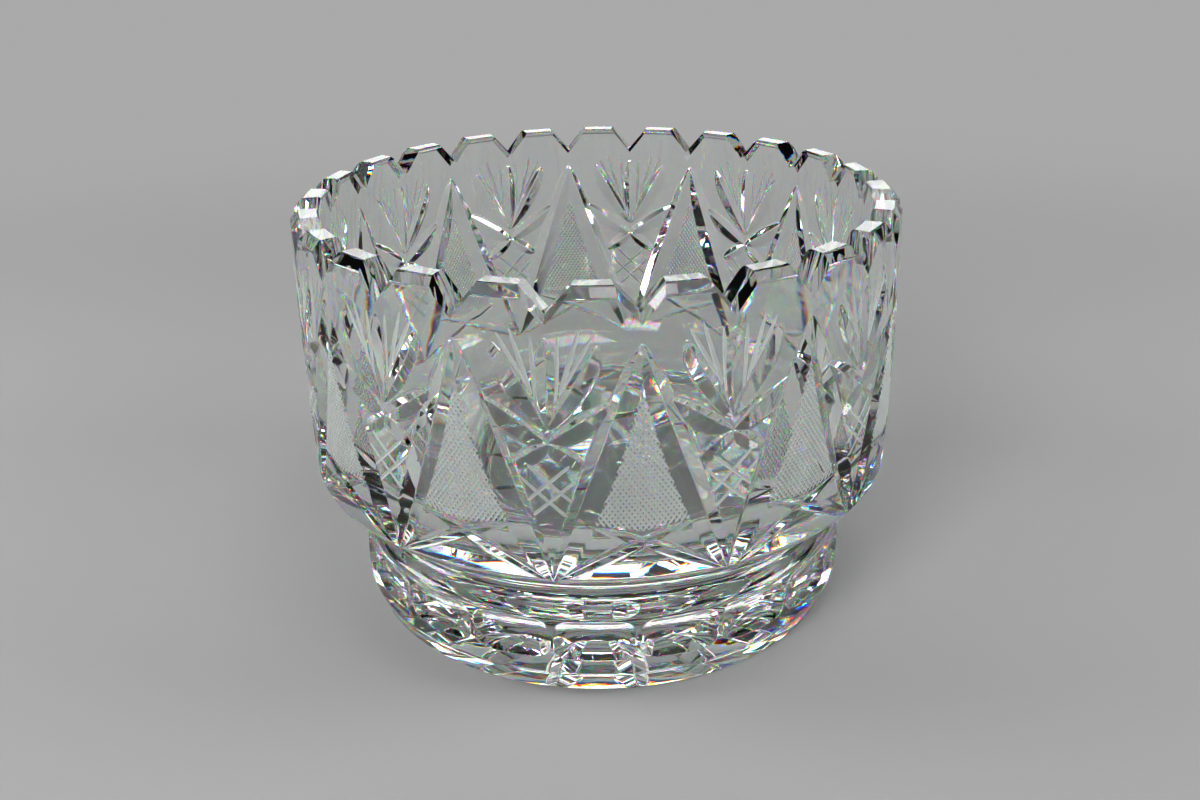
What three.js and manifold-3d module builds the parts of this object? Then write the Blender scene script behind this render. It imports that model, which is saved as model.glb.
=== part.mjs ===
// A footed bowl of cut lead crystal, in millimetres, +Z up.
// The origin is the centre of the ring that the bowl stands on, and the front is towards -Y.
// The body and the heavy foot are separate pieces of glass that meet on a flat weld face.
import * as THREE from 'three';
import { mergeVertices } from 'three/addons/utils/BufferGeometryUtils.js';
import Module from 'manifold-3d';

const wasm = await Module();
wasm.setup();

// Body
const HEIGHT = 141;
const RIM_RADIUS = 100;
const WALL_BULGE = 1.3;
const BULGE_BELOW_RIM = 56;
const WALL_THICKNESS = 9.2;
const WELD_HEIGHT = 37;
const WELD_RADIUS = 80;
const FLOOR_THICKNESS = 10;
const FLOOR_CORNER = 24;
const SHOULDER_ABOVE_WELD = 16;
const SHOULDER_ROUND = 7;
const NECK_ROUND = 4.5;

// Rim, with a wide bevel outside and a narrow one inside
const OUTER_BEVEL = 2.8;
const INNER_BEVEL = 0.8;
const SCALLOPS = 24;
const NOTCH_DEPTH = 8;
const NOTCH_HALF_ANGLE = 41;
const NOTCH_DROP_OUTSIDE = 2.1;

// Foot, with a ray across the base from below each ridge between two flutes
const FOOT_RADIUS = 87;
const FOOT_BELOW_WELD = 6;
const FOOT_TOP_ROUND = 3.5;
const FOOT_EDGE_HEIGHT = 8;
const FOOT_EDGE_INSET = 3;
const RING_WIDTH = 46;
const DISH_DEPTH = 3.5;
const FLUTES = 20;
const FLUTE_BELOW_TOP = 10.3;
const FLUTE_SIZE = { width: 25.8, height: 14.6, depth: 2.4 };
const FOOT_TURN = -2.6;
const BASE_RAY = { width: 9, depth: 3, fullness: 1 };
const BASE_RAY_BEYOND_EDGE = 3;

// Cut pattern, repeated under every second notch of the rim. A point of it has a side distance
// along the wall from the upright line where two long mitres meet, and a distance from the rim or
// from the shoulder. A cut's lean is how far its outline lies off its keel, away from that line.
const PATTERN_TURN = -8.4;
const REPEATS = SCALLOPS / 2;
const APEX_BELOW_RIM = 15.5;
const MEET_BELOW_SHOULDER = 2.2;
const MITRE = { width: 10, depth: 3.3, fullness: 1.1, lean: 1.3 };
const LEAF = { width: 6, depth: 2.2, fullness: 1.1, skew: 0.8 };
const SIDE_LEAF_LEAN = 1.2;
const LEAF_START_BELOW_RIM = 40.5;
const MIDDLE_LEAF_TIP_BELOW_RIM = 13.5;
const SIDE_LEAF_TIP = { side: 14.4, belowRim: 15.5 };
const CENTRE_BELOW_RIM = 44.7;
const LOW_LEAF = { width: 6.6, depth: 1.9, fullness: 1, lean: 0.9 };
const LOW_LEAF_TIP = { side: 19, belowRim: 31.9 };
const CHEVRON = { width: 5, depth: 1.7, fullness: 1, lean: 0.3 };
const CHEVRON_TIP = { side: 10.4, belowRim: 51.9 };
const BAND_CUT = { width: 4, depth: 1.3, fullness: 1.6 };
const BAND_CUT_TOP = { side: 15.5, aboveShoulder: 17.5 };

// How finely the round shapes are divided
const ROUND_STEPS = 72;
const ARC_STEPS = 3;
const WALL_STEPS = 2;
const GROOVE_STEPS = 4;
const FLUTE_STEPS = 12;
const FLUTE_RINGS = 4;
const CLEAR = 5;

const shoulderHeight = WELD_HEIGHT + SHOULDER_ABOVE_WELD;
const floorHeight = WELD_HEIGHT + FLOOR_THICKNESS;
const bulgeHeight = HEIGHT - BULGE_BELOW_RIM;
const footTop = WELD_HEIGHT - FOOT_BELOW_WELD;
const fluteHeight = footTop - FLUTE_BELOW_TOP;
const meetHeight = shoulderHeight - MEET_BELOW_SHOULDER;
const halfRepeat = (Math.PI * RIM_RADIUS) / REPEATS;
const baseRadius = FOOT_RADIUS - FOOT_EDGE_INSET;
const ringInner = baseRadius - RING_WIDTH;

function outerWallRadius(height) {
  const share = (height - bulgeHeight) / BULGE_BELOW_RIM;
  return RIM_RADIUS + WALL_BULGE * (1 - share * share);
}

function footWallRadius(height) {
  const belowEdge = Math.max(0, 1 - height / FOOT_EDGE_HEIGHT);
  return FOOT_RADIUS - FOOT_EDGE_INSET * belowEdge;
}

// A quarter of an ellipse between two profile points, tangent to the lines to their corner
function quarterArc(from, corner, to) {
  return Array.from({ length: ARC_STEPS + 1 }, (unused, step) => {
    const turn = (Math.PI / 2) * (step / ARC_STEPS);
    const first = Math.sin(turn);
    const second = 1 - Math.cos(turn);
    return [
      from[0] + (corner[0] - from[0]) * first + (to[0] - corner[0]) * second,
      from[1] + (corner[1] - from[1]) * first + (to[1] - corner[1]) * second,
    ];
  });
}

// Points up or down a wall of the given radius function
function wallPoints(radiusAt, start, end) {
  return Array.from({ length: WALL_STEPS + 1 }, (unused, step) => {
    const height = start + (end - start) * (step / WALL_STEPS);
    return [radiusAt(height), height];
  });
}

function solidFrom(geometry) {
  const bare = geometry.clone();
  bare.deleteAttribute('normal');
  bare.deleteAttribute('uv');
  const merged = mergeVertices(bare, 1e-4);
  return new wasm.Manifold(new wasm.Mesh({
    numProp: 3,
    vertProperties: new Float32Array(merged.attributes.position.array),
    triVerts: new Uint32Array(merged.index.array),
  }));
}

function turnedSolid(profile) {
  const points = profile.map(([radius, height]) => new THREE.Vector2(radius, height));
  const geometry = new THREE.LatheGeometry(points, ROUND_STEPS);
  geometry.rotateX(Math.PI / 2);
  return solidFrom(geometry);
}

// Places a point of a wall by its side distance along the wall, its inward depth and its height
function onWall(radiusAt, arcRadius) {
  return (side, inward, height) => {
    const angle = side / arcRadius;
    const radius = radiusAt(height) - inward;
    return new THREE.Vector3(radius * Math.sin(angle), -radius * Math.cos(angle), height);
  };
}

// The same for the flat base, with a distance from the axis in place of the height
function onBase(side, inward, radius) {
  return new THREE.Vector3(side, -radius, inward);
}

// The glass that a wheel takes out along a line on a surface: a V groove, pointed at both ends.
// A three-sided sphere has that form once its poles lie at the ends of the line.
function groove(from, to, cut, place) {
  const geometry = new THREE.SphereGeometry(1, 3, GROOVE_STEPS);
  const position = geometry.attributes.position;
  const run = new THREE.Vector2(to[0] - from[0], to[1] - from[1]);
  const unit = run.clone().normalize();
  const lean = -Math.sign(run.x) * (cut.lean ?? 0);
  for (let index = 0; index < position.count; index += 1) {
    const outward = position.getX(index);
    const across = position.getZ(index);
    const girth = Math.hypot(outward, across);
    const swell = girth < 1e-6 ? 0 : girth ** (cut.fullness - 1);
    const along = THREE.MathUtils.clamp((position.getY(index) + 1) / 2, 0, 1) ** (cut.skew ?? 1);
    const inward = -outward * swell * cut.depth;
    const aside = swell * (across * cut.width * (Math.sqrt(3) / 2) + (outward + girth) * lean);
    const side = from[0] + run.x * along - unit.y * aside;
    const height = from[1] + run.y * along + unit.x * aside;
    position.setXYZ(index, ...place(side, inward, height));
  }
  return solidFrom(geometry);
}

// The glass that a flute takes out of the foot's wall: a shallow hollow with a rounded
// rectangular outline
function fluteHollow(place) {
  const geometry = new THREE.SphereGeometry(1, FLUTE_STEPS, FLUTE_RINGS);
  const position = geometry.attributes.position;
  const squared = (value) => Math.sign(value) * Math.sqrt(Math.abs(value));
  for (let index = 0; index < position.count; index += 1) {
    const inwardShare = position.getY(index);
    const sideways = position.getX(index);
    const upward = position.getZ(index);
    const girth = Math.hypot(sideways, upward);
    const size = Math.max(girth, 1e-9);
    const side = squared(sideways / size) * girth * (FLUTE_SIZE.width / 2);
    const rise = squared(upward / size) * girth * (FLUTE_SIZE.height / 2);
    const inward = inwardShare > 0 ? inwardShare * inwardShare * FLUTE_SIZE.depth
      : inwardShare * FLUTE_SIZE.depth;
    position.setXYZ(index, ...place(side, inward, fluteHeight + rise));
  }
  return solidFrom(geometry);
}

// One notch of the rim: a V bar right through the wall, which widens over the outer bevel
function rimNotch() {
  const slope = Math.tan(THREE.MathUtils.degToRad(NOTCH_HALF_ANGLE));
  const reach = NOTCH_DEPTH + CLEAR;
  const bevelStart = RIM_RADIUS - OUTER_BEVEL;
  const outside = RIM_RADIUS + WALL_BULGE + CLEAR;
  const inside = RIM_RADIUS - WALL_THICKNESS - CLEAR;
  const growth = (NOTCH_DROP_OUTSIDE / OUTER_BEVEL) * (outside - bevelStart);
  const bar = (outerSize, innerSize, outer, inner) => {
    const geometry = new THREE.CylinderGeometry(outerSize, innerSize, outer - inner, 3);
    geometry.scale(slope * Math.sqrt(3), 1, 1);
    geometry.rotateX(Math.PI);
    geometry.translate(0, -(outer + inner) / 2, HEIGHT - NOTCH_DEPTH + reach);
    return solidFrom(geometry);
  };
  return bar(reach, reach, bevelStart, inside)
    .add(bar(reach + growth, reach, outside, bevelStart));
}

function cutRound(solid, tool, count) {
  let result = solid;
  for (let copy = 0; copy < count; copy += 1) {
    result = result.subtract(tool.rotate([0, 0, (360 / count) * copy]));
  }
  return result;
}

function blankBody() {
  const innerWallRadius = (height) => outerWallRadius(height) - WALL_THICKNESS;
  const shoulderRadius = outerWallRadius(shoulderHeight);
  const undersideRadius = shoulderRadius - SHOULDER_ROUND;
  const undersideHeight = shoulderHeight - SHOULDER_ROUND;
  const neckTop = WELD_HEIGHT + NECK_ROUND;
  const neckRadius = WELD_RADIUS + NECK_ROUND;
  const slope = THREE.MathUtils.clamp(
    (undersideHeight - neckTop) / (undersideRadius - neckRadius), 0, 1);
  const cornerHeight = floorHeight + FLOOR_CORNER;
  const cornerRadius = innerWallRadius(cornerHeight);
  return turnedSolid([
    [0, WELD_HEIGHT],
    ...quarterArc([WELD_RADIUS, WELD_HEIGHT], [WELD_RADIUS, neckTop - NECK_ROUND * slope],
      [neckRadius, neckTop]),
    ...quarterArc([undersideRadius, undersideHeight],
      [shoulderRadius, undersideHeight + SHOULDER_ROUND * slope], [shoulderRadius, shoulderHeight]),
    ...wallPoints(outerWallRadius, shoulderHeight, HEIGHT - OUTER_BEVEL).slice(1),
    [RIM_RADIUS - OUTER_BEVEL, HEIGHT],
    [RIM_RADIUS - WALL_THICKNESS + INNER_BEVEL, HEIGHT],
    ...wallPoints(innerWallRadius, HEIGHT - INNER_BEVEL, cornerHeight),
    ...quarterArc([cornerRadius, cornerHeight], [cornerRadius, floorHeight],
      [cornerRadius - FLOOR_CORNER, floorHeight]).slice(1),
    [0, floorHeight],
  ]);
}

function patternCuts() {
  const wall = onWall(outerWallRadius, RIM_RADIUS);
  const apexHeight = HEIGHT - APEX_BELOW_RIM;
  const leafStart = [0, HEIGHT - LEAF_START_BELOW_RIM];
  const middleTip = [0, HEIGHT - MIDDLE_LEAF_TIP_BELOW_RIM];
  const centre = [0, HEIGHT - CENTRE_BELOW_RIM];
  const bandTop = shoulderHeight + BAND_CUT_TOP.aboveShoulder;
  const cuts = [groove(leafStart, middleTip, LEAF, wall)];
  [-1, 1].forEach((hand) => {
    const tip = (place) => [hand * place.side, HEIGHT - place.belowRim];
    const bandStart = [hand * (halfRepeat + BAND_CUT_TOP.side), bandTop];
    cuts.push(
      groove([0, meetHeight], [hand * halfRepeat, apexHeight], MITRE, wall),
      groove(leafStart, tip(SIDE_LEAF_TIP), { ...LEAF, lean: SIDE_LEAF_LEAN }, wall),
      groove(centre, tip(LOW_LEAF_TIP), LOW_LEAF, wall),
      groove(centre, tip(CHEVRON_TIP), CHEVRON, wall),
      groove([0, meetHeight], bandStart, BAND_CUT, wall),
    );
  });
  return cuts;
}

function makeBody() {
  let body = cutRound(blankBody(), rimNotch(), SCALLOPS);
  patternCuts().forEach((cut) => {
    body = cutRound(body, cut, REPEATS);
  });
  return body;
}

function blankFoot() {
  return turnedSolid([
    ...quarterArc([0, DISH_DEPTH], [ringInner / 2, DISH_DEPTH], [ringInner, 0]),
    [baseRadius, 0],
    [FOOT_RADIUS, FOOT_EDGE_HEIGHT],
    ...quarterArc([FOOT_RADIUS, footTop - FOOT_TOP_ROUND], [FOOT_RADIUS, footTop],
      [FOOT_RADIUS - FOOT_TOP_ROUND, footTop]),
    ...quarterArc([WELD_RADIUS, WELD_HEIGHT], [WELD_RADIUS, footTop],
      [FOOT_RADIUS - FOOT_TOP_ROUND, footTop]).reverse().slice(1),
    [0, WELD_HEIGHT],
  ]);
}

function makeFoot() {
  const wall = onWall(footWallRadius, FOOT_RADIUS);
  const flute = fluteHollow(wall).rotate([0, 0, 180 / FLUTES]);
  const ray = groove([0, baseRadius + BASE_RAY_BEYOND_EDGE], [0, ringInner], BASE_RAY, onBase);
  return [flute, ray].reduce((foot, cut) => cutRound(foot, cut, FLUTES), blankFoot());
}

function meshFrom(solid, name, material, turn) {
  const { vertProperties, triVerts } = solid.getMesh();
  const geometry = new THREE.BufferGeometry();
  geometry.setAttribute('position', new THREE.BufferAttribute(new Float32Array(vertProperties), 3));
  geometry.setIndex(new THREE.BufferAttribute(new Uint32Array(triVerts), 1));
  geometry.computeVertexNormals();
  const mesh = new THREE.Mesh(geometry, material);
  mesh.name = name;
  mesh.rotation.z = THREE.MathUtils.degToRad(turn);
  return mesh;
}

function crystal() {
  return new THREE.MeshStandardMaterial({
    color: 0xdfe6e2,
    roughness: 0.03,
    metalness: 0,
    transparent: true,
    opacity: 0.35,
  });
}

const group = new THREE.Group();
group.name = 'cut_crystal_bowl';
group.add(meshFrom(makeBody(), 'bowl_body', crystal(), PATTERN_TURN));
group.add(meshFrom(makeFoot(), 'foot', crystal(), PATTERN_TURN + FOOT_TURN));

export default group;
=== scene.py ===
# A footed bowl of cut lead crystal on a pale table. Shapes are worked out in millimetres, with
# heights from the table and the front towards -Y, and become metres when a mesh is made.
import math

import bpy
import numpy as np
from mathutils import Euler, Matrix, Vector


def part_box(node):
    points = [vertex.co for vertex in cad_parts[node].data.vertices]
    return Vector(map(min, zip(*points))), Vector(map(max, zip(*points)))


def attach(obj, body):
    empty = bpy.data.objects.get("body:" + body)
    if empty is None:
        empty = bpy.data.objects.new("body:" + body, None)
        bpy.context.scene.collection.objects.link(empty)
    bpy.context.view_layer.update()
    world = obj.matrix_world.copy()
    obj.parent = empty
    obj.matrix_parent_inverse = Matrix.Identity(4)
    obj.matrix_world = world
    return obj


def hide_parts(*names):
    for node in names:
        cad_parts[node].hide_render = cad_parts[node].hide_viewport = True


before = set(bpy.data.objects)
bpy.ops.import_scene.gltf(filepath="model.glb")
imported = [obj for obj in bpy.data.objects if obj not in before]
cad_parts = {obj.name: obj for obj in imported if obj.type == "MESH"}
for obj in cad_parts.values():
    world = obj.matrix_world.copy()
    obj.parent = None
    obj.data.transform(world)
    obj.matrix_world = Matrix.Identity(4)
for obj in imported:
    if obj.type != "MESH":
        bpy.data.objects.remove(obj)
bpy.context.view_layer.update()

MM = 0.001
body_low, body_high = (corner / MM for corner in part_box("bowl_body"))
foot_low, foot_high = (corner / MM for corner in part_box("foot"))

# Body
HEIGHT = body_high.z
RIM_RADIUS = 100
WALL_BULGE = body_high.x - RIM_RADIUS
BULGE_BELOW_RIM = 56
WALL_THICKNESS = 9.2
WELD_HEIGHT = body_low.z
WELD_RADIUS = 80
FLOOR_THICKNESS = 10
FLOOR_CORNER = 24
SHOULDER_ABOVE_WELD = 16
SHOULDER_ROUND = 7
NECK_ROUND = 4.5

# Rim
OUTER_BEVEL = 2.8
INNER_BEVEL = 0.8
SCALLOPS = 24
NOTCH_DEPTH = 8
NOTCH_HALF_ANGLE = 41
NOTCH_DROP_OUTSIDE = 2.1

# Foot
FOOT_RADIUS = foot_high.x
FOOT_BELOW_WELD = 6
FOOT_TOP_ROUND = 3.5
FOOT_EDGE_HEIGHT = 8
FOOT_EDGE_INSET = 3
RING_WIDTH = 46
DISH_DEPTH = 3.5
FLUTES = 20
FLUTE_BELOW_TOP = 10.3
FLUTE_SIZE = {"width": 25.8, "height": 14.6, "depth": 2.4}
FOOT_TURN = -2.6
FLUTE_SQUARENESS = 3  # more makes the hollow's middle flatter and its edge steeper
BASE_RAY = {"width": 9, "depth": 3, "fullness": 1}
BASE_RAY_BEYOND_EDGE = 3

# Polished cuts of the wall, repeated under every second notch. A point has a side distance along
# the wall from the upright line where two long mitres meet, and a height. A cut's fullness is how
# fast it narrows to its ends, where 0 keeps it at full size. A skew over 1 moves its widest part
# towards its start. Its lean is how far its outline lies off its keel, away from that upright
# line, and its bow is how far its middle lies above the straight line between its ends.
PATTERN_TURN = -8.4
REPEATS = SCALLOPS // 2
MITRE = {"width": 10, "depth": 3.3, "fullness": 1.1, "lean": 1.3}
LEAF = {"width": 6, "depth": 2.2, "fullness": 1.1, "skew": 0.8}
SIDE_LEAF = {**LEAF, "lean": 1.2}
LOW_LEAF = {"width": 6.6, "depth": 1.9, "fullness": 1, "lean": 0.9}
CHEVRON = {"width": 5, "depth": 1.7, "fullness": 1, "lean": 0.3}
BAND_CUT = {"width": 4, "depth": 1.3, "fullness": 1.6, "bow": 1.6}
SHOULDER_HEIGHT = WELD_HEIGHT + SHOULDER_ABOVE_WELD
MEET_HEIGHT = SHOULDER_HEIGHT - 2.2
APEX_HEIGHT = HEIGHT - 15.5
LEAF_START_HEIGHT = HEIGHT - 40.5
MIDDLE_LEAF_TIP_HEIGHT = HEIGHT - 13.5
SIDE_LEAF_TIP = (14.4, HEIGHT - 15.5)
CENTRE_HEIGHT = HEIGHT - 44.7
LOW_LEAF_TIP = (19, HEIGHT - 31.9)
CHEVRON_TIP = (10.4, HEIGHT - 51.9)
BAND_CUT_TOP = (15.5, SHOULDER_HEIGHT + 17.5)

# Ground cuts of the wall
FINE_CUT = {"width": 0.86, "depth": 0.36, "fullness": 0}
FINE_PITCH = 1.3
FINE_SLOPE = 55
FINE_TOP_HEIGHT = APEX_HEIGHT - 15.5
FINE_LOW_CORNER = (17, SHOULDER_HEIGHT + 18.6)
FINE_LOW_MIDDLE_HEIGHT = SHOULDER_HEIGHT + 15
FINE_LINES = 30  # on each side of the middle one, more than the panel has room for
COARSE_CUT = {"width": 1.15, "depth": 0.42, "fullness": 0.4}
COARSE_SLOPE = 43
COARSE_CROSSINGS = (MEET_HEIGHT + 33.4, MEET_HEIGHT + 27.3)
COARSE_REACH = 9
COARSE_REACH_SHARE = 0.32  # of the height above the meeting of the mitres, where that is less
FAN_CUT = {"width": 1.5, "depth": 0.5, "fullness": 0.9, "skew": 1.3}
FAN_LINES = (  # tip and base of each
    ((3.7, HEIGHT - 12.9), (2.6, HEIGHT - 32)),
    ((9.5, HEIGHT - 10.9), (3.8, HEIGHT - 30)),
    ((13.2, HEIGHT - 12.4), (5.4, HEIGHT - 27)),
)

# How finely the round shapes are divided
ROUND_STEPS = 288
ARC_STEPS = 10
WALL_STEPS = 12
FLAT_STEPS = 4
GROOVE_STEPS = 20
FINE_STEPS = 5
GROUND_STEPS = 10
EDGE_STEPS = 3
KEEL_STEPS = 2
FLUTE_STEPS = 40
FLUTE_RINGS = 8

# How far polishing rounds edges and keels, and the most of a facet that it takes
EDGE_ROUND = 0.6
FLUTE_EDGE_ROUND = 0.45
FOOT_EDGE_ROUND = 0.9
KEEL_ROUND = 0.4
EDGE_SHARE = 0.35
KEEL_SHARE = 0.2
RIM_EDGE = 1  # length of the stretch of wall beside each bevel's edge

# How far a cutting shape reaches past the glass that it takes out
SKIN = 0.01
LID_HEIGHT = 0.8
CLEAR = 5
GROUND_OVERRUN = 1.5  # a sharp cut's facets, as a share of their depth

# A small step, which gives slopes, and what counts as nothing
NUDGE = 0.01
TINY = 1e-6

# Photographed view, in millimetres and degrees, worked out for a frame of 1200 by 800 pixels
CAMERA_PLACE = (0, -397.3, 246.7)
CAMERA_PITCH = 24.78
CAMERA_ROLL = -1.11
LENS = 36.39
SENSOR = 36
CLIP = (0.01, 50)  # in metres

# Glass, with the sizes of its unevenness in metres
CRYSTAL_IOR = 1.545
SPREAD = 0.006
CRYSTAL_TINT = (0.972, 0.985, 0.978)
WAVES = {"scale": 70, "distance": 0.00008}
HAZE = {"scale": 25, "start": 0.45, "roughness": 0.02}
GRAIN = {"scale": 2500, "detail": 3.0, "distance": 0.00004}
GROUND_TINT = (0.93, 0.95, 0.94)
GROUND_ROUGHNESS = 0.45
GROUND_MATTE = 0.5
GROUND_SHADES = ((0.78, 0.82, 0.8), (0.88, 0.92, 0.9))
GROUND_SHADE_SCALE = 400

# Studio, in metres. A share of the way up to straight overhead is 0 at the horizon.
FLOOR_SIZE = 24.0
FLOOR_SHADE = 0.4
FLOOR_GAP = 0.0001
BACKDROP_SHADE = 0.4
BACKDROP_NEAR, BACKDROP_FAR = 0.2, 0.8
BACKDROP_TOP = (0.06, 0.2)
HORIZON = {"share": 0.02, "shade": 0.12}
CEILING = {"share": 0.3, "shade": 0.04}

# Soft boxes: name, place and size in metres, and power in watts. The long low one behind the bowl
# is what the flats of the rim mirror.
LAMPS = (
    ("left_box", (-0.75, 0, 0.42), (0.35, 0.35), 3.8),
    ("right_box", (0.75, -0.1, 0.42), (0.35, 0.35), 3.8),
    ("back_box", (0.05, 0.85, 0.37), (1.1, 0.24), 2.4),
    ("top_box", (0.1, -0.25, 0.9), (0.3, 0.3), 1.6),
    ("front_box", (-0.35, -0.75, 0.7), (0.3, 0.3), 4),
)

# Finishes, which are also the places of the materials on a piece
POLISHED, GROUND, WELD = range(3)

BULGE_HEIGHT = HEIGHT - BULGE_BELOW_RIM
FLOOR_HEIGHT = WELD_HEIGHT + FLOOR_THICKNESS
FOOT_TOP = WELD_HEIGHT - FOOT_BELOW_WELD
FLUTE_HEIGHT = FOOT_TOP - FLUTE_BELOW_TOP
BASE_RADIUS = FOOT_RADIUS - FOOT_EDGE_INSET
RING_INNER = BASE_RADIUS - RING_WIDTH
HALF_REPEAT = math.pi * RIM_RADIUS / REPEATS


def outer_wall_radius(height):
    share = (height - BULGE_HEIGHT) / BULGE_BELOW_RIM
    return RIM_RADIUS + WALL_BULGE * (1 - share * share)


def inner_wall_radius(height):
    return outer_wall_radius(height) - WALL_THICKNESS


def foot_wall_radius(height):
    below_edge = np.maximum(0, 1 - height / FOOT_EDGE_HEIGHT)
    return FOOT_RADIUS - FOOT_EDGE_INSET * below_edge


def on_wall(radius_at, arc_radius):
    """Where a side distance along a wall, a height and a depth into it lie."""
    def place(side, height, inward):
        angle = side / arc_radius
        radius = radius_at(height) - inward
        return np.stack([radius * np.sin(angle), -radius * np.cos(angle), height + 0 * radius], -1)
    return place


def on_base(side, radius, inward):
    """The same for the flat base, with a distance from the axis in place of the height."""
    return np.stack([side + 0 * inward, -radius + 0 * inward, inward + 0 * side], -1)


WALL = on_wall(outer_wall_radius, RIM_RADIUS)
FOOT_WALL = on_wall(foot_wall_radius, FOOT_RADIUS)


def unit(vectors):
    return vectors / np.maximum(np.linalg.norm(vectors, axis=-1, keepdims=True), 1e-12)


class Solid:
    """A closed shape: points in millimetres, faces, each face's finish, and the smooth normal of
    the glass at each corner of each face."""

    def __init__(self):
        self.points = []
        self.faces = []
        self.finishes = []
        self.normals = []

    def add_points(self, points):
        start = len(self.points)
        self.points.extend(tuple(map(float, point)) for point in points)
        return list(range(start, len(self.points)))

    def add_face(self, corners, finish, normals=None):
        """Corners that are the same point count once."""
        kept = [at for at, corner in enumerate(corners) if corner not in corners[:at]]
        self.faces.append(tuple(corners[at] for at in kept))
        self.finishes.append(finish)
        for at in kept:
            self.normals.append((0, 0, 1) if normals is None else tuple(normals[at]))

    def copies(self, angles):
        """One solid of turned copies that don't touch each other."""
        return joined([self.turned_by(angle) for angle in angles])

    def turned_by(self, angle):
        cosine, sine = math.cos(angle), math.sin(angle)
        turn = np.array([[cosine, sine, 0], [-sine, cosine, 0], [0, 0, 1]])
        made = Solid()
        made.points = (np.array(self.points) @ turn).tolist()
        made.normals = (np.array(self.normals) @ turn).tolist()
        made.faces, made.finishes = self.faces, self.finishes
        return made


def joined(solids):
    made = Solid()
    for solid in solids:
        start = len(made.points)
        made.points.extend(solid.points)
        made.faces.extend(tuple(start + corner for corner in face) for face in solid.faces)
        made.finishes.extend(solid.finishes)
        made.normals.extend(solid.normals)
    return made


def quarter_arc(start, corner, end):
    """A quarter of an ellipse tangent to the lines to its corner: points, and outward normals."""
    start, corner, end = map(np.array, (start, corner, end))
    turn = np.linspace(0, math.pi / 2, ARC_STEPS + 1)[:, None]
    points = start + (corner - start) * np.sin(turn) + (end - corner) * (1 - np.cos(turn))
    along = (corner - start) * np.cos(turn) + (end - corner) * np.sin(turn)
    return points, outward(along)


def straight(start, end, steps=1):
    share = np.linspace(0, 1, steps + 1)[:, None]
    start, end = np.array(start, float), np.array(end, float)
    return start + (end - start) * share, outward(np.repeat((end - start)[None], steps + 1, 0))


def along_wall(radius_at, start, end):
    heights = np.linspace(start, end, WALL_STEPS + 1)
    points = np.stack([radius_at(heights), heights], 1)
    nudge = np.sign(end - start) * NUDGE
    along = np.stack([radius_at(heights + nudge) - radius_at(heights - nudge),
                      np.full_like(heights, 2 * nudge)], 1)
    return points, outward(along)


def outward(along):
    """A profile runs with its glass on the left, so outward is to its right."""
    return unit(np.stack([along[:, 1], -along[:, 0]], 1))


def bend(start, corner, end, steps):
    """A smooth bend tangent to the lines to its corner, as points and directions."""
    start, corner, end = (np.array(place, float) for place in (start, corner, end))
    share = np.linspace(0, 1, steps + 1)[:, None]
    points = (1 - share) ** 2 * start + 2 * share * (1 - share) * corner + share ** 2 * end
    return points, unit((1 - share) * (corner - start) + share * (end - corner))


def rounded_path(corners, reach):
    """Straight stretches with each corner between them rounded off."""
    corners = [np.array(corner, float) for corner in corners]
    points, along = [corners[0]], [unit(corners[1] - corners[0])]
    for before, corner, after in zip(corners, corners[1:], corners[2:]):
        places, directions = bend(corner + reach * unit(before - corner), corner,
                                  corner + reach * unit(after - corner), EDGE_STEPS)
        points.extend(places)
        along.extend(directions)
    points.append(corners[-1])
    along.append(unit(corners[-1] - corners[-2]))
    return np.array(points), outward(np.array(along))


def turned(spans):
    """A turned solid from profile spans, each with its finish."""
    solid = Solid()
    angles = np.arange(ROUND_STEPS) * (2 * math.pi / ROUND_STEPS)
    circle = np.stack([np.sin(angles), -np.cos(angles)], 1)

    def row(radius, height):
        if radius < TINY:
            return solid.add_points([(0, 0, height)])
        return solid.add_points([(radius * x, radius * y, height) for x, y in circle])

    def around(normal):
        return [(normal[0] * x, normal[0] * y, normal[1]) for x, y in circle]

    before = row(*spans[0][0][0][0])
    for (points, normals), finish in spans:
        facing = around(normals[0])
        for (radius, height), normal in zip(points[1:], normals[1:]):
            after, next_facing = row(radius, height), around(normal)
            for step in range(ROUND_STEPS):
                beyond = (step + 1) % ROUND_STEPS
                corners = [before[step % len(before)], before[beyond % len(before)],
                           after[beyond % len(after)], after[step % len(after)]]
                solid.add_face(corners, finish, [facing[step], facing[beyond],
                                                 next_facing[beyond], next_facing[step]])
            before, facing = after, next_facing
    return solid


def v_section(cut, girth, lean, finish):
    """A V groove's section where it has a share of its full size: places (aside, inward), and for
    each strip between them the direction at its two ends. Polished grooves have a rounded keel and
    rounded edges, as polishing leaves them; ground ones are sharp and run on outside the wall."""
    keel = np.array([0, cut["depth"] * girth])
    edges = [np.array([side * (cut["width"] / 2 + side * lean) * girth, 0]) for side in (-1, 1)]
    facets = [edge - keel for edge in edges]
    if finish == GROUND:
        places = [keel + GROUND_OVERRUN * facets[0], keel, keel + GROUND_OVERRUN * facets[1]]
        return places, [(unit(-facets[0]),) * 2, (unit(facets[1]),) * 2]
    shortest = min(np.linalg.norm(facet) for facet in facets)
    edge_reach = min(EDGE_ROUND, EDGE_SHARE * shortest)
    keel_reach = min(KEEL_ROUND, KEEL_SHARE * shortest)
    sides = []
    for side, edge, facet in zip((-1, 1), edges, facets):
        outside = edge + (side * edge_reach, -SKIN)
        sides.append(bend(outside, edge, edge - edge_reach * unit(facet), EDGE_STEPS))
    places, along = list(sides[0][0]), list(sides[0][1])
    for more in (bend(keel + keel_reach * unit(facets[0]), keel,
                      keel + keel_reach * unit(facets[1]), KEEL_STEPS),
                 (sides[1][0][::-1], -sides[1][1][::-1])):
        places.extend(more[0])
        along.extend(more[1])
    return places, list(zip(along, along[1:]))


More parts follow.
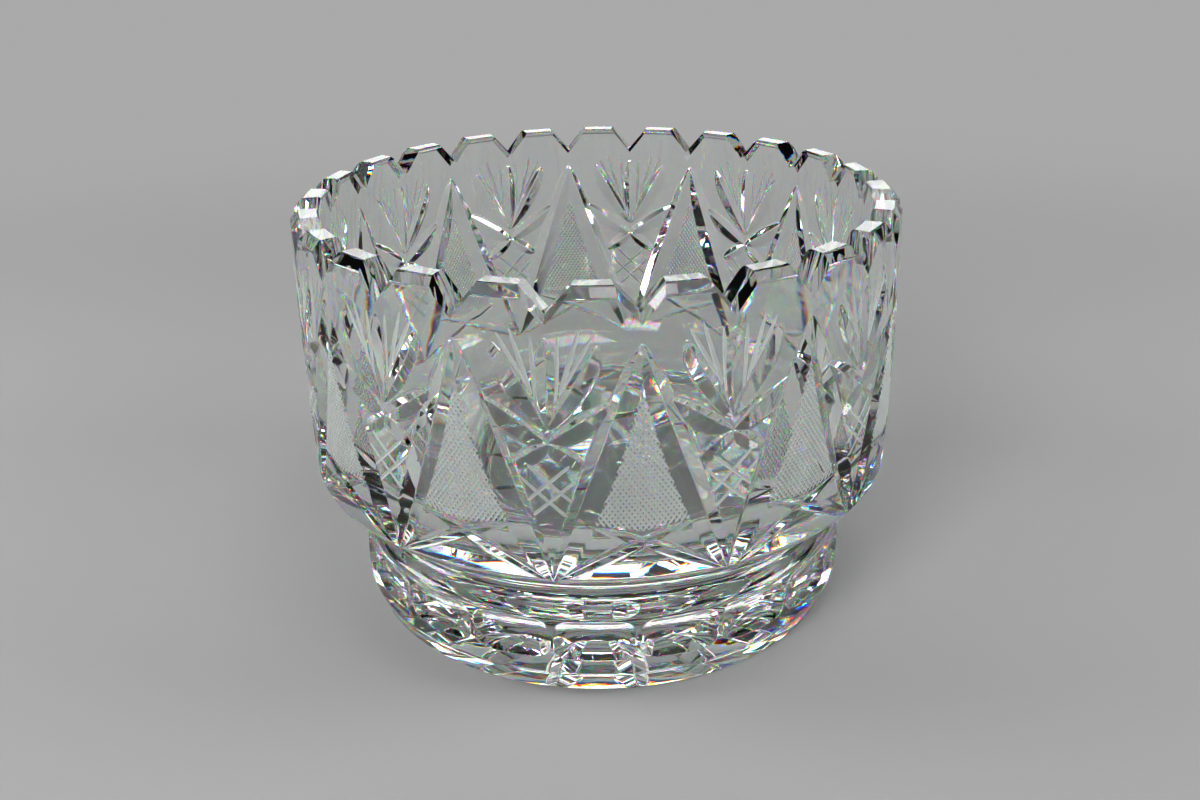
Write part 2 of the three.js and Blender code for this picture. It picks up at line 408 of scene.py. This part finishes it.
def groove(start, end, cut, place, finish=POLISHED, steps=GROOVE_STEPS):
    """The glass that a wheel takes out along a line on a surface: a V groove, pointed at both
    ends. Its lid is outside the glass."""
    run = np.array(end, float) - np.array(start, float)
    ahead = unit(run)
    lean = -np.sign(run[0]) * cut.get("lean", 0)
    bow = np.sign(run[0]) * cut.get("bow", 0)
    alongs, sections, strips, lids = [], [], [], []
    for turn in np.linspace(0, math.pi, steps + 1):
        girth = math.sin(turn) ** cut["fullness"] if 0 < turn < math.pi else 0
        girth = max(girth, TINY)
        places, ends = v_section(cut, girth, lean, finish)
        alongs.append(((1 - math.cos(turn)) / 2) ** cut.get("skew", 1))
        sections.append(places)
        strips.append(ends)
        lids.append(girth * LID_HEIGHT)

    def at(along, aside, inward):
        bowed = aside + bow * 4 * along * (1 - along)
        side = start[0] + run[0] * along - ahead[1] * bowed
        return place(side, start[1] + run[1] * along + ahead[0] * bowed, inward)

    sections, strips = np.array(sections), np.array(strips)
    alongs = np.array(alongs)[:, None] + 0 * sections[:, :, 0]
    grid = at(alongs, sections[:, :, 0], sections[:, :, 1])
    out = unit(at(alongs, sections[:, :, 0], sections[:, :, 1] - 1) - grid)
    forward = unit(np.concatenate([grid[1:2] - grid[:1], grid[2:] - grid[:-2],
                                   grid[-1:] - grid[-2:-1]]))
    facing = []
    for edge in (0, 1):
        step = NUDGE * strips[:, :, edge]
        here = slice(edge, edge + sections.shape[1] - 1)
        across = at(alongs[:, here], sections[:, here, 0] + step[:, :, 0],
                    sections[:, here, 1] + step[:, :, 1]) - grid[:, here]
        normals = unit(np.cross(forward[:, here], across))
        facing.append(normals * np.sign(np.sum(normals * out[:, here], -1, keepdims=True)))

    solid = Solid()
    lids = np.array(lids)[:, None]
    ends = sections[:, [0, -1]]
    covers = at(alongs[:, :2], ends[:, :, 0], ends[:, :, 1] - lids)
    rows = []
    for index, ring in enumerate(grid):
        if index in (0, steps):
            rows.append(solid.add_points(ring[:1]) * (len(ring) + 2))
        else:
            rows.append(solid.add_points([*ring, covers[index, 1], covers[index, 0]]))
    count = grid.shape[1]
    for index, (low, high) in enumerate(zip(rows, rows[1:])):
        for side in range(count + 2):
            after = (side + 1) % (count + 2)
            normals = None
            if side < count - 1:
                normals = [facing[0][index, side], facing[1][index, side],
                           facing[1][index + 1, side], facing[0][index + 1, side]]
            solid.add_face([low[side], low[after], high[after], high[side]], finish, normals)
    return solid


def rim_notch():
    """A V bar right through the wall, which widens over the outer bevel. Its section is a triangle
    with its point one size below its middle and its flat side half a size above."""
    slope = math.tan(math.radians(NOTCH_HALF_ANGLE))
    reach = NOTCH_DEPTH + CLEAR
    bevel_start = RIM_RADIUS - OUTER_BEVEL
    outside = RIM_RADIUS + WALL_BULGE + CLEAR
    inside = RIM_RADIUS - WALL_THICKNESS - CLEAR
    growth = NOTCH_DROP_OUTSIDE / OUTER_BEVEL * (outside - bevel_start)
    middle = HEIGHT - NOTCH_DEPTH + reach
    solid = Solid()
    rows = []
    for size, distance in ((reach, inside), (reach, bevel_start), (reach + growth, outside)):
        rows.append(solid.add_points([
            (0, -distance, middle - size),
            (1.5 * slope * size, -distance, middle + size / 2),
            (-1.5 * slope * size, -distance, middle + size / 2)]))
    solid.add_face(rows[0][::-1], POLISHED)
    solid.add_face(rows[-1], POLISHED)
    for low, high in zip(rows, rows[1:]):
        for side, after in ((0, 1), (1, 2), (2, 0)):
            corners = [low[side], low[after], high[after], high[side]]
            first, second, third = (np.array(solid.points[corner]) for corner in corners[:3])
            normal = unit(np.cross(second - first, third - first))
            normal *= np.sign(normal[2])
            solid.add_face(corners, POLISHED, [normal] * 4)
    return solid


def flute_hollow():
    """A shallow hollow with a rounded rectangular outline, and its lid outside the wall."""
    angles = np.arange(FLUTE_STEPS) * (2 * math.pi / FLUTE_STEPS)
    across, up = (np.sign(value) * np.sqrt(np.abs(value))
                  for value in (np.cos(angles), np.sin(angles)))
    mean_half_size = (FLUTE_SIZE["width"] + FLUTE_SIZE["height"]) / 4
    edge = FLUTE_EDGE_ROUND / mean_half_size
    shares = np.linspace(0, 1 - edge, FLUTE_RINGS + 1)
    depths = (1 - shares ** FLUTE_SQUARENESS) * FLUTE_SIZE["depth"]
    rounding = bend((shares[-1], depths[-1]), (1, 0), (1 + edge, -SKIN), EDGE_STEPS)[0][1:]
    shares = np.concatenate([shares, rounding[:, 0], [1 + edge, 0]])[:, None]
    depths = np.concatenate([depths, rounding[:, 1], [-LID_HEIGHT, -3 * LID_HEIGHT]])[:, None]
    side = shares * across * FLUTE_SIZE["width"] / 2
    height = FLUTE_HEIGHT + shares * up * FLUTE_SIZE["height"] / 2
    grid = FOOT_WALL(side, height, depths + 0 * side)
    out = unit(FOOT_WALL(side, height, depths + 0 * side - 1) - grid)
    outwards = np.gradient(grid, axis=0)
    turning = np.roll(grid, -1, axis=1) - np.roll(grid, 1, axis=1)
    normals = unit(np.cross(outwards, turning))
    normals *= np.sign(np.sum(normals * out, -1, keepdims=True))
    normals[0] = out[0]
    last_smooth = FLUTE_RINGS + EDGE_STEPS
    normals[last_smooth] = out[last_smooth]
    solid = Solid()
    rows = [solid.add_points(ring[:1]) * FLUTE_STEPS if index in (0, len(grid) - 1)
            else solid.add_points(ring) for index, ring in enumerate(grid)]
    for index, (low, high) in enumerate(zip(rows, rows[1:])):
        for step in range(FLUTE_STEPS):
            after = (step + 1) % FLUTE_STEPS
            solid.add_face([low[step], low[after], high[after], high[step]], POLISHED,
                           [normals[index, step], normals[index, after],
                            normals[index + 1, after], normals[index + 1, step]])
    return solid


def line_in_polygon(through, direction, polygon):
    """The two ends of a line's stretch inside a convex polygon, or None."""
    low, high = -math.inf, math.inf
    for corner, after in zip(polygon, polygon[1:] + polygon[:1]):
        side = np.subtract(after, corner)
        inward = np.array([-side[1], side[0]])
        gap = float(np.dot(np.subtract(through, corner), inward))
        rate = float(np.dot(direction, inward))
        if abs(rate) < TINY:
            if gap < 0:
                return None
        elif rate > 0:
            low = max(low, -gap / rate)
        else:
            high = min(high, -gap / rate)
    if high - low < FINE_PITCH:
        return None
    return (np.add(through, np.multiply(direction, low)),
            np.add(through, np.multiply(direction, high)))


def fine_cuts(hand):
    """One set of parallel fine cuts, in the panel between two mitres that meet at their tops."""
    top_half = HALF_REPEAT * (APEX_HEIGHT - FINE_TOP_HEIGHT) / (APEX_HEIGHT - MEET_HEIGHT)
    panel = [(0, FINE_LOW_MIDDLE_HEIGHT), FINE_LOW_CORNER, (top_half, FINE_TOP_HEIGHT),
             (-top_half, FINE_TOP_HEIGHT), (-FINE_LOW_CORNER[0], FINE_LOW_CORNER[1])]
    slope = math.radians(FINE_SLOPE)
    direction = (hand * math.cos(slope), math.sin(slope))
    across = (-math.sin(slope), hand * math.cos(slope))
    middle = (0, (FINE_TOP_HEIGHT + FINE_LOW_MIDDLE_HEIGHT) / 2)
    cuts = []
    for index in range(-FINE_LINES, FINE_LINES + 1):
        through = np.add(middle, np.multiply(across, index * FINE_PITCH))
        ends = line_in_polygon(through, direction, panel)
        if ends is not None:
            start, end = (point + (HALF_REPEAT, 0) for point in ends)
            cuts.append(groove(start, end, FINE_CUT, WALL, GROUND, FINE_STEPS))
    return joined(cuts)


def coarse_cuts(hand):
    """One set of the few wide ground cuts that cross below the chevrons."""
    slope = math.radians(COARSE_SLOPE)
    cuts = []
    for height in COARSE_CROSSINGS:
        reach = min(COARSE_REACH, (height - MEET_HEIGHT) * COARSE_REACH_SHARE)
        rise = reach * math.tan(slope)
        cuts.append(groove((-hand * reach, height - rise), (hand * reach, height + rise),
                           COARSE_CUT, WALL, GROUND, GROUND_STEPS))
    return joined(cuts)


def body_cuts():
    """The families of cuts, ground ones first. The members of a family don't touch each other."""
    leaf_start = (0, LEAF_START_HEIGHT)
    centre = (0, CENTRE_HEIGHT)
    meet = (0, MEET_HEIGHT)
    families = []
    for hand in (-1, 1):
        families.append(fine_cuts(hand))
        families.append(coarse_cuts(hand))
        for tip, base in FAN_LINES:
            families.append(groove((hand * base[0], base[1]), (hand * tip[0], tip[1]),
                                   FAN_CUT, WALL, GROUND, GROUND_STEPS))
    families.append(groove(leaf_start, (0, MIDDLE_LEAF_TIP_HEIGHT), LEAF, WALL))
    for hand in (-1, 1):
        side_tip, low_tip, chevron_tip = ((hand * tip[0], tip[1])
                                          for tip in (SIDE_LEAF_TIP, LOW_LEAF_TIP, CHEVRON_TIP))
        band_top = (hand * (HALF_REPEAT + BAND_CUT_TOP[0]), BAND_CUT_TOP[1])
        families += [groove(leaf_start, side_tip, SIDE_LEAF, WALL),
                     groove(centre, low_tip, LOW_LEAF, WALL),
                     groove(centre, chevron_tip, CHEVRON, WALL),
                     groove(meet, band_top, BAND_CUT, WALL),
                     groove(meet, (hand * HALF_REPEAT, APEX_HEIGHT), MITRE, WALL)]
    return families


def turns(count, degrees):
    return math.radians(degrees) + np.arange(count) * (2 * math.pi / count)


def body_profile():
    """The body's section, from the middle of the weld out, up the wall and back to the middle of
    the floor."""
    shoulder_radius = outer_wall_radius(SHOULDER_HEIGHT)
    underside = (shoulder_radius - SHOULDER_ROUND, SHOULDER_HEIGHT - SHOULDER_ROUND)
    neck = (WELD_RADIUS + NECK_ROUND, WELD_HEIGHT + NECK_ROUND)
    slope = (underside[1] - neck[1]) / (underside[0] - neck[0])
    bevel_low = HEIGHT - OUTER_BEVEL
    corner_height = FLOOR_HEIGHT + FLOOR_CORNER
    corner_radius = inner_wall_radius(corner_height)
    inner_bevel_low = HEIGHT - INNER_BEVEL
    rim_path = [
        (outer_wall_radius(bevel_low - RIM_EDGE), bevel_low - RIM_EDGE),
        (outer_wall_radius(bevel_low), bevel_low),
        (RIM_RADIUS - OUTER_BEVEL, HEIGHT),
        (RIM_RADIUS - WALL_THICKNESS + INNER_BEVEL, HEIGHT),
        (inner_wall_radius(inner_bevel_low), inner_bevel_low),
        (inner_wall_radius(inner_bevel_low - RIM_EDGE), inner_bevel_low - RIM_EDGE),
    ]
    floor_edge = (corner_radius - FLOOR_CORNER, FLOOR_HEIGHT)
    neck_corner = (WELD_RADIUS, neck[1] - NECK_ROUND * slope)
    shoulder_corner = (shoulder_radius, underside[1] + SHOULDER_ROUND * slope)
    return [
        (straight((0, WELD_HEIGHT), (WELD_RADIUS, WELD_HEIGHT)), WELD),
        (quarter_arc((WELD_RADIUS, WELD_HEIGHT), neck_corner, neck), POLISHED),
        (straight(neck, underside, FLAT_STEPS), POLISHED),
        (quarter_arc(underside, shoulder_corner, (shoulder_radius, SHOULDER_HEIGHT)), POLISHED),
        (along_wall(outer_wall_radius, SHOULDER_HEIGHT, rim_path[0][1]), POLISHED),
        (rounded_path(rim_path, EDGE_ROUND), POLISHED),
        (along_wall(inner_wall_radius, rim_path[-1][1], corner_height), POLISHED),
        (quarter_arc((corner_radius, corner_height), (corner_radius, FLOOR_HEIGHT), floor_edge),
         POLISHED),
        (straight(floor_edge, (0, FLOOR_HEIGHT), FLAT_STEPS), POLISHED),
    ]


def foot_profile():
    """The foot's section, from the middle of the base out, up its wall and back to the weld."""
    round_low = (FOOT_RADIUS, FOOT_TOP - FOOT_TOP_ROUND)
    round_top = (FOOT_RADIUS - FOOT_TOP_ROUND, FOOT_TOP)
    weld_edge = (WELD_RADIUS, WELD_HEIGHT)
    return [
        (quarter_arc((0, DISH_DEPTH), (RING_INNER / 2, DISH_DEPTH), (RING_INNER, 0)), POLISHED),
        (rounded_path([(RING_INNER, 0), (BASE_RADIUS, 0), (FOOT_RADIUS, FOOT_EDGE_HEIGHT),
                       round_low], FOOT_EDGE_ROUND), POLISHED),
        (quarter_arc(round_low, (FOOT_RADIUS, FOOT_TOP), round_top), POLISHED),
        (quarter_arc(round_top, (WELD_RADIUS, FOOT_TOP), weld_edge), POLISHED),
        (straight(weld_edge, (0, WELD_HEIGHT)), WELD),
    ]


def base_ray():
    """A radial V cut under the foot, from its edge to the shallow dish in the middle."""
    return groove((0, BASE_RADIUS + BASE_RAY_BEYOND_EDGE), (0, RING_INNER), BASE_RAY, on_base)


def mesh_object(solid, name):
    """A Blender object of a solid, in metres, with its faces turned outwards."""
    points = np.array(solid.points)
    volume = 0.0
    for face in solid.faces:
        first = points[face[0]]
        for second, third in zip(face[1:], face[2:]):
            volume += np.dot(first, np.cross(points[second], points[third]))
    mesh = bpy.data.meshes.new(name)
    mesh.from_pydata(points * MM, [], solid.faces)
    finish = mesh.attributes.new("finish", "INT", "FACE")
    finish.data.foreach_set("value", solid.finishes)
    normals = mesh.attributes.new("glass_normal", "FLOAT_VECTOR", "CORNER")
    normals.data.foreach_set("vector", np.array(solid.normals, float).ravel())
    if volume < 0:
        mesh.flip_normals()
    made = bpy.data.objects.new(name, mesh)
    bpy.context.scene.collection.objects.link(made)
    return made


def cut_glass(blank, families, name):
    """The blank without the glass of each family of cuts, one after the other."""
    made = mesh_object(blank, name)
    tools = []
    for index, family in enumerate(families):
        tool = mesh_object(family, f"{name}_tool_{index}")
        tools.append(tool)
        cut = made.modifiers.new(f"cut_{index}", "BOOLEAN")
        cut.object, cut.operation, cut.solver = tool, "DIFFERENCE", "MANIFOLD"
    shaped = made.evaluated_get(bpy.context.evaluated_depsgraph_get())
    mesh = bpy.data.meshes.new_from_object(shaped)
    made.modifiers.clear()
    old = made.data
    made.data = mesh
    mesh.name = name
    bpy.data.meshes.remove(old)
    for tool in tools:
        bpy.data.meshes.remove(tool.data)
    return made


def shade(made, materials):
    """Each face gets its finish and each corner its smooth normal, so that the edges stay crisp."""
    mesh = made.data
    count = len(mesh.polygons)
    finishes = np.zeros(count, int)
    mesh.attributes["finish"].data.foreach_get("value", finishes)
    normals = np.zeros(len(mesh.loops) * 3)
    mesh.attributes["glass_normal"].data.foreach_get("vector", normals)
    mesh.attributes.remove(mesh.attributes["finish"])
    mesh.attributes.remove(mesh.attributes["glass_normal"])
    mesh.materials.clear()
    for material in materials:
        mesh.materials.append(material)
    mesh.polygons.foreach_set("material_index", finishes)
    mesh.polygons.foreach_set("use_smooth", np.ones(count, bool))
    mesh.normals_split_custom_set(unit(normals.reshape(-1, 3)).tolist())


def node_material(name):
    material = bpy.data.materials.new(name)
    material.use_nodes = True
    material.node_tree.nodes.clear()
    return material, material.node_tree.nodes, material.node_tree.links


def noise(nodes, links, scale, detail=2.0):
    place = nodes.new("ShaderNodeTexCoord")
    pattern = nodes.new("ShaderNodeTexNoise")
    pattern.inputs["Scale"].default_value = scale
    pattern.inputs["Detail"].default_value = detail
    links.new(place.outputs["Object"], pattern.inputs["Vector"])
    return pattern.outputs["Fac"]


def bump(nodes, links, height, distance):
    relief = nodes.new("ShaderNodeBump")
    relief.inputs["Distance"].default_value = distance
    links.new(height, relief.inputs["Height"])
    return relief.outputs["Normal"]


def glass(nodes, links, colour, ior, normal, roughness):
    shader = nodes.new("ShaderNodeBsdfGlass")
    shader.inputs["Color"].default_value = (*colour, 1)
    shader.inputs["IOR"].default_value = ior
    links.new(normal, shader.inputs["Normal"])
    if isinstance(roughness, float):
        shader.inputs["Roughness"].default_value = roughness
    else:
        links.new(roughness, shader.inputs["Roughness"])
    return shader.outputs["BSDF"]


def polished_crystal():
    """Clear lead crystal with the slight waves that polishing leaves. The glass that the eye meets
    first bends blue more than red."""
    material, nodes, links = node_material("polished_crystal")
    waves = bump(nodes, links, noise(nodes, links, WAVES["scale"]), WAVES["distance"])
    haze = nodes.new("ShaderNodeMapRange")
    haze.inputs["From Min"].default_value = HAZE["start"]
    haze.inputs["To Max"].default_value = HAZE["roughness"]
    links.new(noise(nodes, links, HAZE["scale"]), haze.inputs["Value"])
    plain = glass(nodes, links, CRYSTAL_TINT, CRYSTAL_IOR, waves, 0.0)
    split = None
    for channel, shift in enumerate((-SPREAD, 0, SPREAD)):
        colour = [CRYSTAL_TINT[channel] if other == channel else 0 for other in range(3)]
        part = glass(nodes, links, colour, CRYSTAL_IOR + shift, waves, haze.outputs["Result"])
        if split is None:
            split = part
        else:
            both = nodes.new("ShaderNodeAddShader")
            links.new(split, both.inputs[0])
            links.new(part, both.inputs[1])
            split = both.outputs["Shader"]
    path = nodes.new("ShaderNodeLightPath")
    mix = nodes.new("ShaderNodeMixShader")
    links.new(path.outputs["Is Camera Ray"], mix.inputs["Fac"])
    links.new(plain, mix.inputs[1])
    links.new(split, mix.inputs[2])
    out = nodes.new("ShaderNodeOutputMaterial")
    links.new(mix.outputs["Shader"], out.inputs["Surface"])
    return material


def ground_crystal():
    """Crystal as the wheel leaves it: matte, grey and faintly translucent."""
    material, nodes, links = node_material("ground_crystal")
    rough = noise(nodes, links, GRAIN["scale"], GRAIN["detail"])
    grain = bump(nodes, links, rough, GRAIN["distance"])
    clear = glass(nodes, links, GROUND_TINT, CRYSTAL_IOR, grain, GROUND_ROUGHNESS)
    matte = nodes.new("ShaderNodeBsdfDiffuse")
    shade_of = nodes.new("ShaderNodeMix")
    shade_of.data_type = "RGBA"
    shade_of.inputs["A"].default_value = (*GROUND_SHADES[0], 1)
    shade_of.inputs["B"].default_value = (*GROUND_SHADES[1], 1)
    links.new(noise(nodes, links, GROUND_SHADE_SCALE), shade_of.inputs["Factor"])
    links.new(shade_of.outputs["Result"], matte.inputs["Color"])
    links.new(grain, matte.inputs["Normal"])
    mix = nodes.new("ShaderNodeMixShader")
    mix.inputs["Fac"].default_value = GROUND_MATTE
    links.new(clear, mix.inputs[1])
    links.new(matte.outputs["BSDF"], mix.inputs[2])
    out = nodes.new("ShaderNodeOutputMaterial")
    links.new(mix.outputs["Shader"], out.inputs["Surface"])
    return material


def weld_crystal():
    """The weld can't be seen in the real glass, so light passes it unbent."""
    material, nodes, links = node_material("weld_crystal")
    clear = nodes.new("ShaderNodeBsdfTransparent")
    out = nodes.new("ShaderNodeOutputMaterial")
    links.new(clear.outputs["BSDF"], out.inputs["Surface"])
    return material


def make_body(materials):
    families = [cut.copies(turns(REPEATS, PATTERN_TURN)) for cut in body_cuts()]
    families.append(rim_notch().copies(turns(SCALLOPS, PATTERN_TURN)))
    body = cut_glass(turned(body_profile()), families, "cut_body")
    shade(body, materials)
    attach(body, "root")
    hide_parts("bowl_body")


def make_foot(materials):
    ridges = turns(FLUTES, PATTERN_TURN + FOOT_TURN)
    flutes = ridges + math.pi / FLUTES
    families = [flute_hollow().copies(flutes), base_ray().copies(ridges)]
    foot = cut_glass(turned(foot_profile()), families, "fluted_foot")
    shade(foot, materials)
    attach(foot, "root")
    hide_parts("foot")


def grey(value):
    return (value, value, value, 1)


def seen_rays(nodes, links):
    """1 for what the camera sees, straight or by way of glass, and 0 for light on the bowl."""
    path = nodes.new("ShaderNodeLightPath")
    seen = path.outputs["Is Camera Ray"]
    for kind in ("Is Glossy Ray", "Is Transmission Ray"):
        either = nodes.new("ShaderNodeMath")
        either.operation = "MAXIMUM"
        links.new(seen, either.inputs[0])
        links.new(path.outputs[kind], either.inputs[1])
        seen = either.outputs["Value"]
    return seen


def smooth_share(nodes, links, value, start, end):
    """A smooth rise from 0 to 1 between two values."""
    share = nodes.new("ShaderNodeMapRange")
    share.interpolation_type = "SMOOTHSTEP"
    share.inputs["From Min"].default_value = start
    share.inputs["From Max"].default_value = end
    links.new(value, share.inputs["Value"])
    return share.outputs["Result"]


def product(nodes, links, first, second):
    times = nodes.new("ShaderNodeMath")
    times.operation = "MULTIPLY"
    links.new(first, times.inputs[0])
    links.new(second, times.inputs[1])
    return times.outputs["Value"]


def make_floor():
    """A pale table that takes the bowl's shadow, and far from the bowl becomes the backdrop."""
    half = FLOOR_SIZE / 2
    mesh = bpy.data.meshes.new("table")
    mesh.from_pydata([(x, y, -FLOOR_GAP) for x, y in
                      ((-half, -half), (half, -half), (half, half), (-half, half))], [],
                     [(0, 1, 2, 3)])
    floor = bpy.data.objects.new("table", mesh)
    bpy.context.scene.collection.objects.link(floor)
    material, nodes, links = node_material("pale_table")
    matte = nodes.new("ShaderNodeBsdfDiffuse")
    matte.inputs["Color"].default_value = grey(FLOOR_SHADE)
    backdrop = nodes.new("ShaderNodeEmission")
    backdrop.inputs["Color"].default_value = grey(BACKDROP_SHADE)
    place = nodes.new("ShaderNodeTexCoord")
    distance = nodes.new("ShaderNodeVectorMath")
    distance.operation = "LENGTH"
    links.new(place.outputs["Object"], distance.inputs[0])
    far = smooth_share(nodes, links, distance.outputs["Value"], BACKDROP_NEAR, BACKDROP_FAR)
    mix = nodes.new("ShaderNodeMixShader")
    links.new(product(nodes, links, far, seen_rays(nodes, links)), mix.inputs["Fac"])
    links.new(matte.outputs["BSDF"], mix.inputs[1])
    links.new(backdrop.outputs["Emission"], mix.inputs[2])
    out = nodes.new("ShaderNodeOutputMaterial")
    links.new(mix.outputs["Shader"], out.inputs["Surface"])
    mesh.materials.append(material)


def make_world():
    """A dim studio, in which a pale backdrop stands all round the table."""
    world = bpy.data.worlds.new("studio")
    bpy.context.scene.world = world
    world.use_nodes = True
    nodes, links = world.node_tree.nodes, world.node_tree.links
    nodes.clear()
    place = nodes.new("ShaderNodeTexCoord")
    parts = nodes.new("ShaderNodeSeparateXYZ")
    links.new(place.outputs["Generated"], parts.inputs["Vector"])
    ramp = nodes.new("ShaderNodeValToRGB")
    for element, part in zip(ramp.color_ramp.elements, (HORIZON, CEILING)):
        element.position = part["share"]
        element.color = grey(part["shade"])
    links.new(parts.outputs["Z"], ramp.inputs["Fac"])
    room = nodes.new("ShaderNodeBackground")
    links.new(ramp.outputs["Color"], room.inputs["Color"])
    backdrop = nodes.new("ShaderNodeBackground")
    backdrop.inputs["Color"].default_value = grey(BACKDROP_SHADE)
    low = smooth_share(nodes, links, parts.outputs["Z"], BACKDROP_TOP[1], BACKDROP_TOP[0])
    mix = nodes.new("ShaderNodeMixShader")
    links.new(product(nodes, links, low, seen_rays(nodes, links)), mix.inputs["Fac"])
    links.new(room.outputs["Background"], mix.inputs[1])
    links.new(backdrop.outputs["Background"], mix.inputs[2])
    out = nodes.new("ShaderNodeOutputWorld")
    links.new(mix.outputs["Shader"], out.inputs["Surface"])


def make_lamp(name, place, size, power):
    """A soft box that faces the bowl."""
    light = bpy.data.lights.new(name, "AREA")
    light.shape = "RECTANGLE"
    light.size, light.size_y = size
    light.energy = power
    lamp = bpy.data.objects.new(name, light)
    bpy.context.scene.collection.objects.link(lamp)
    lamp.location = place
    aim = Matrix.Translation((0, 0, HEIGHT / 2 * MM)).translation - lamp.location
    lamp.rotation_euler = aim.to_track_quat("-Z", "Y").to_euler()


def make_camera():
    data = bpy.data.cameras.new("camera")
    data.lens, data.sensor_width = LENS, SENSOR
    camera = bpy.data.objects.new("camera", data)
    bpy.context.scene.collection.objects.link(camera)
    pitch = Euler((math.pi / 2 - math.radians(CAMERA_PITCH), 0, 0)).to_matrix().to_4x4()
    roll = Matrix.Rotation(math.radians(CAMERA_ROLL), 4, "Z")
    place = Matrix.Translation([value * MM for value in CAMERA_PLACE])
    camera.matrix_world = place @ pitch @ roll
    data.clip_start, data.clip_end = CLIP
    bpy.context.scene.camera = camera


materials = [polished_crystal(), ground_crystal(), weld_crystal()]
make_body(materials)
make_foot(materials)
make_floor()
make_world()
for lamp in LAMPS:
    make_lamp(*lamp)
make_camera()
bpy.context.scene.view_settings.view_transform = "Standard"
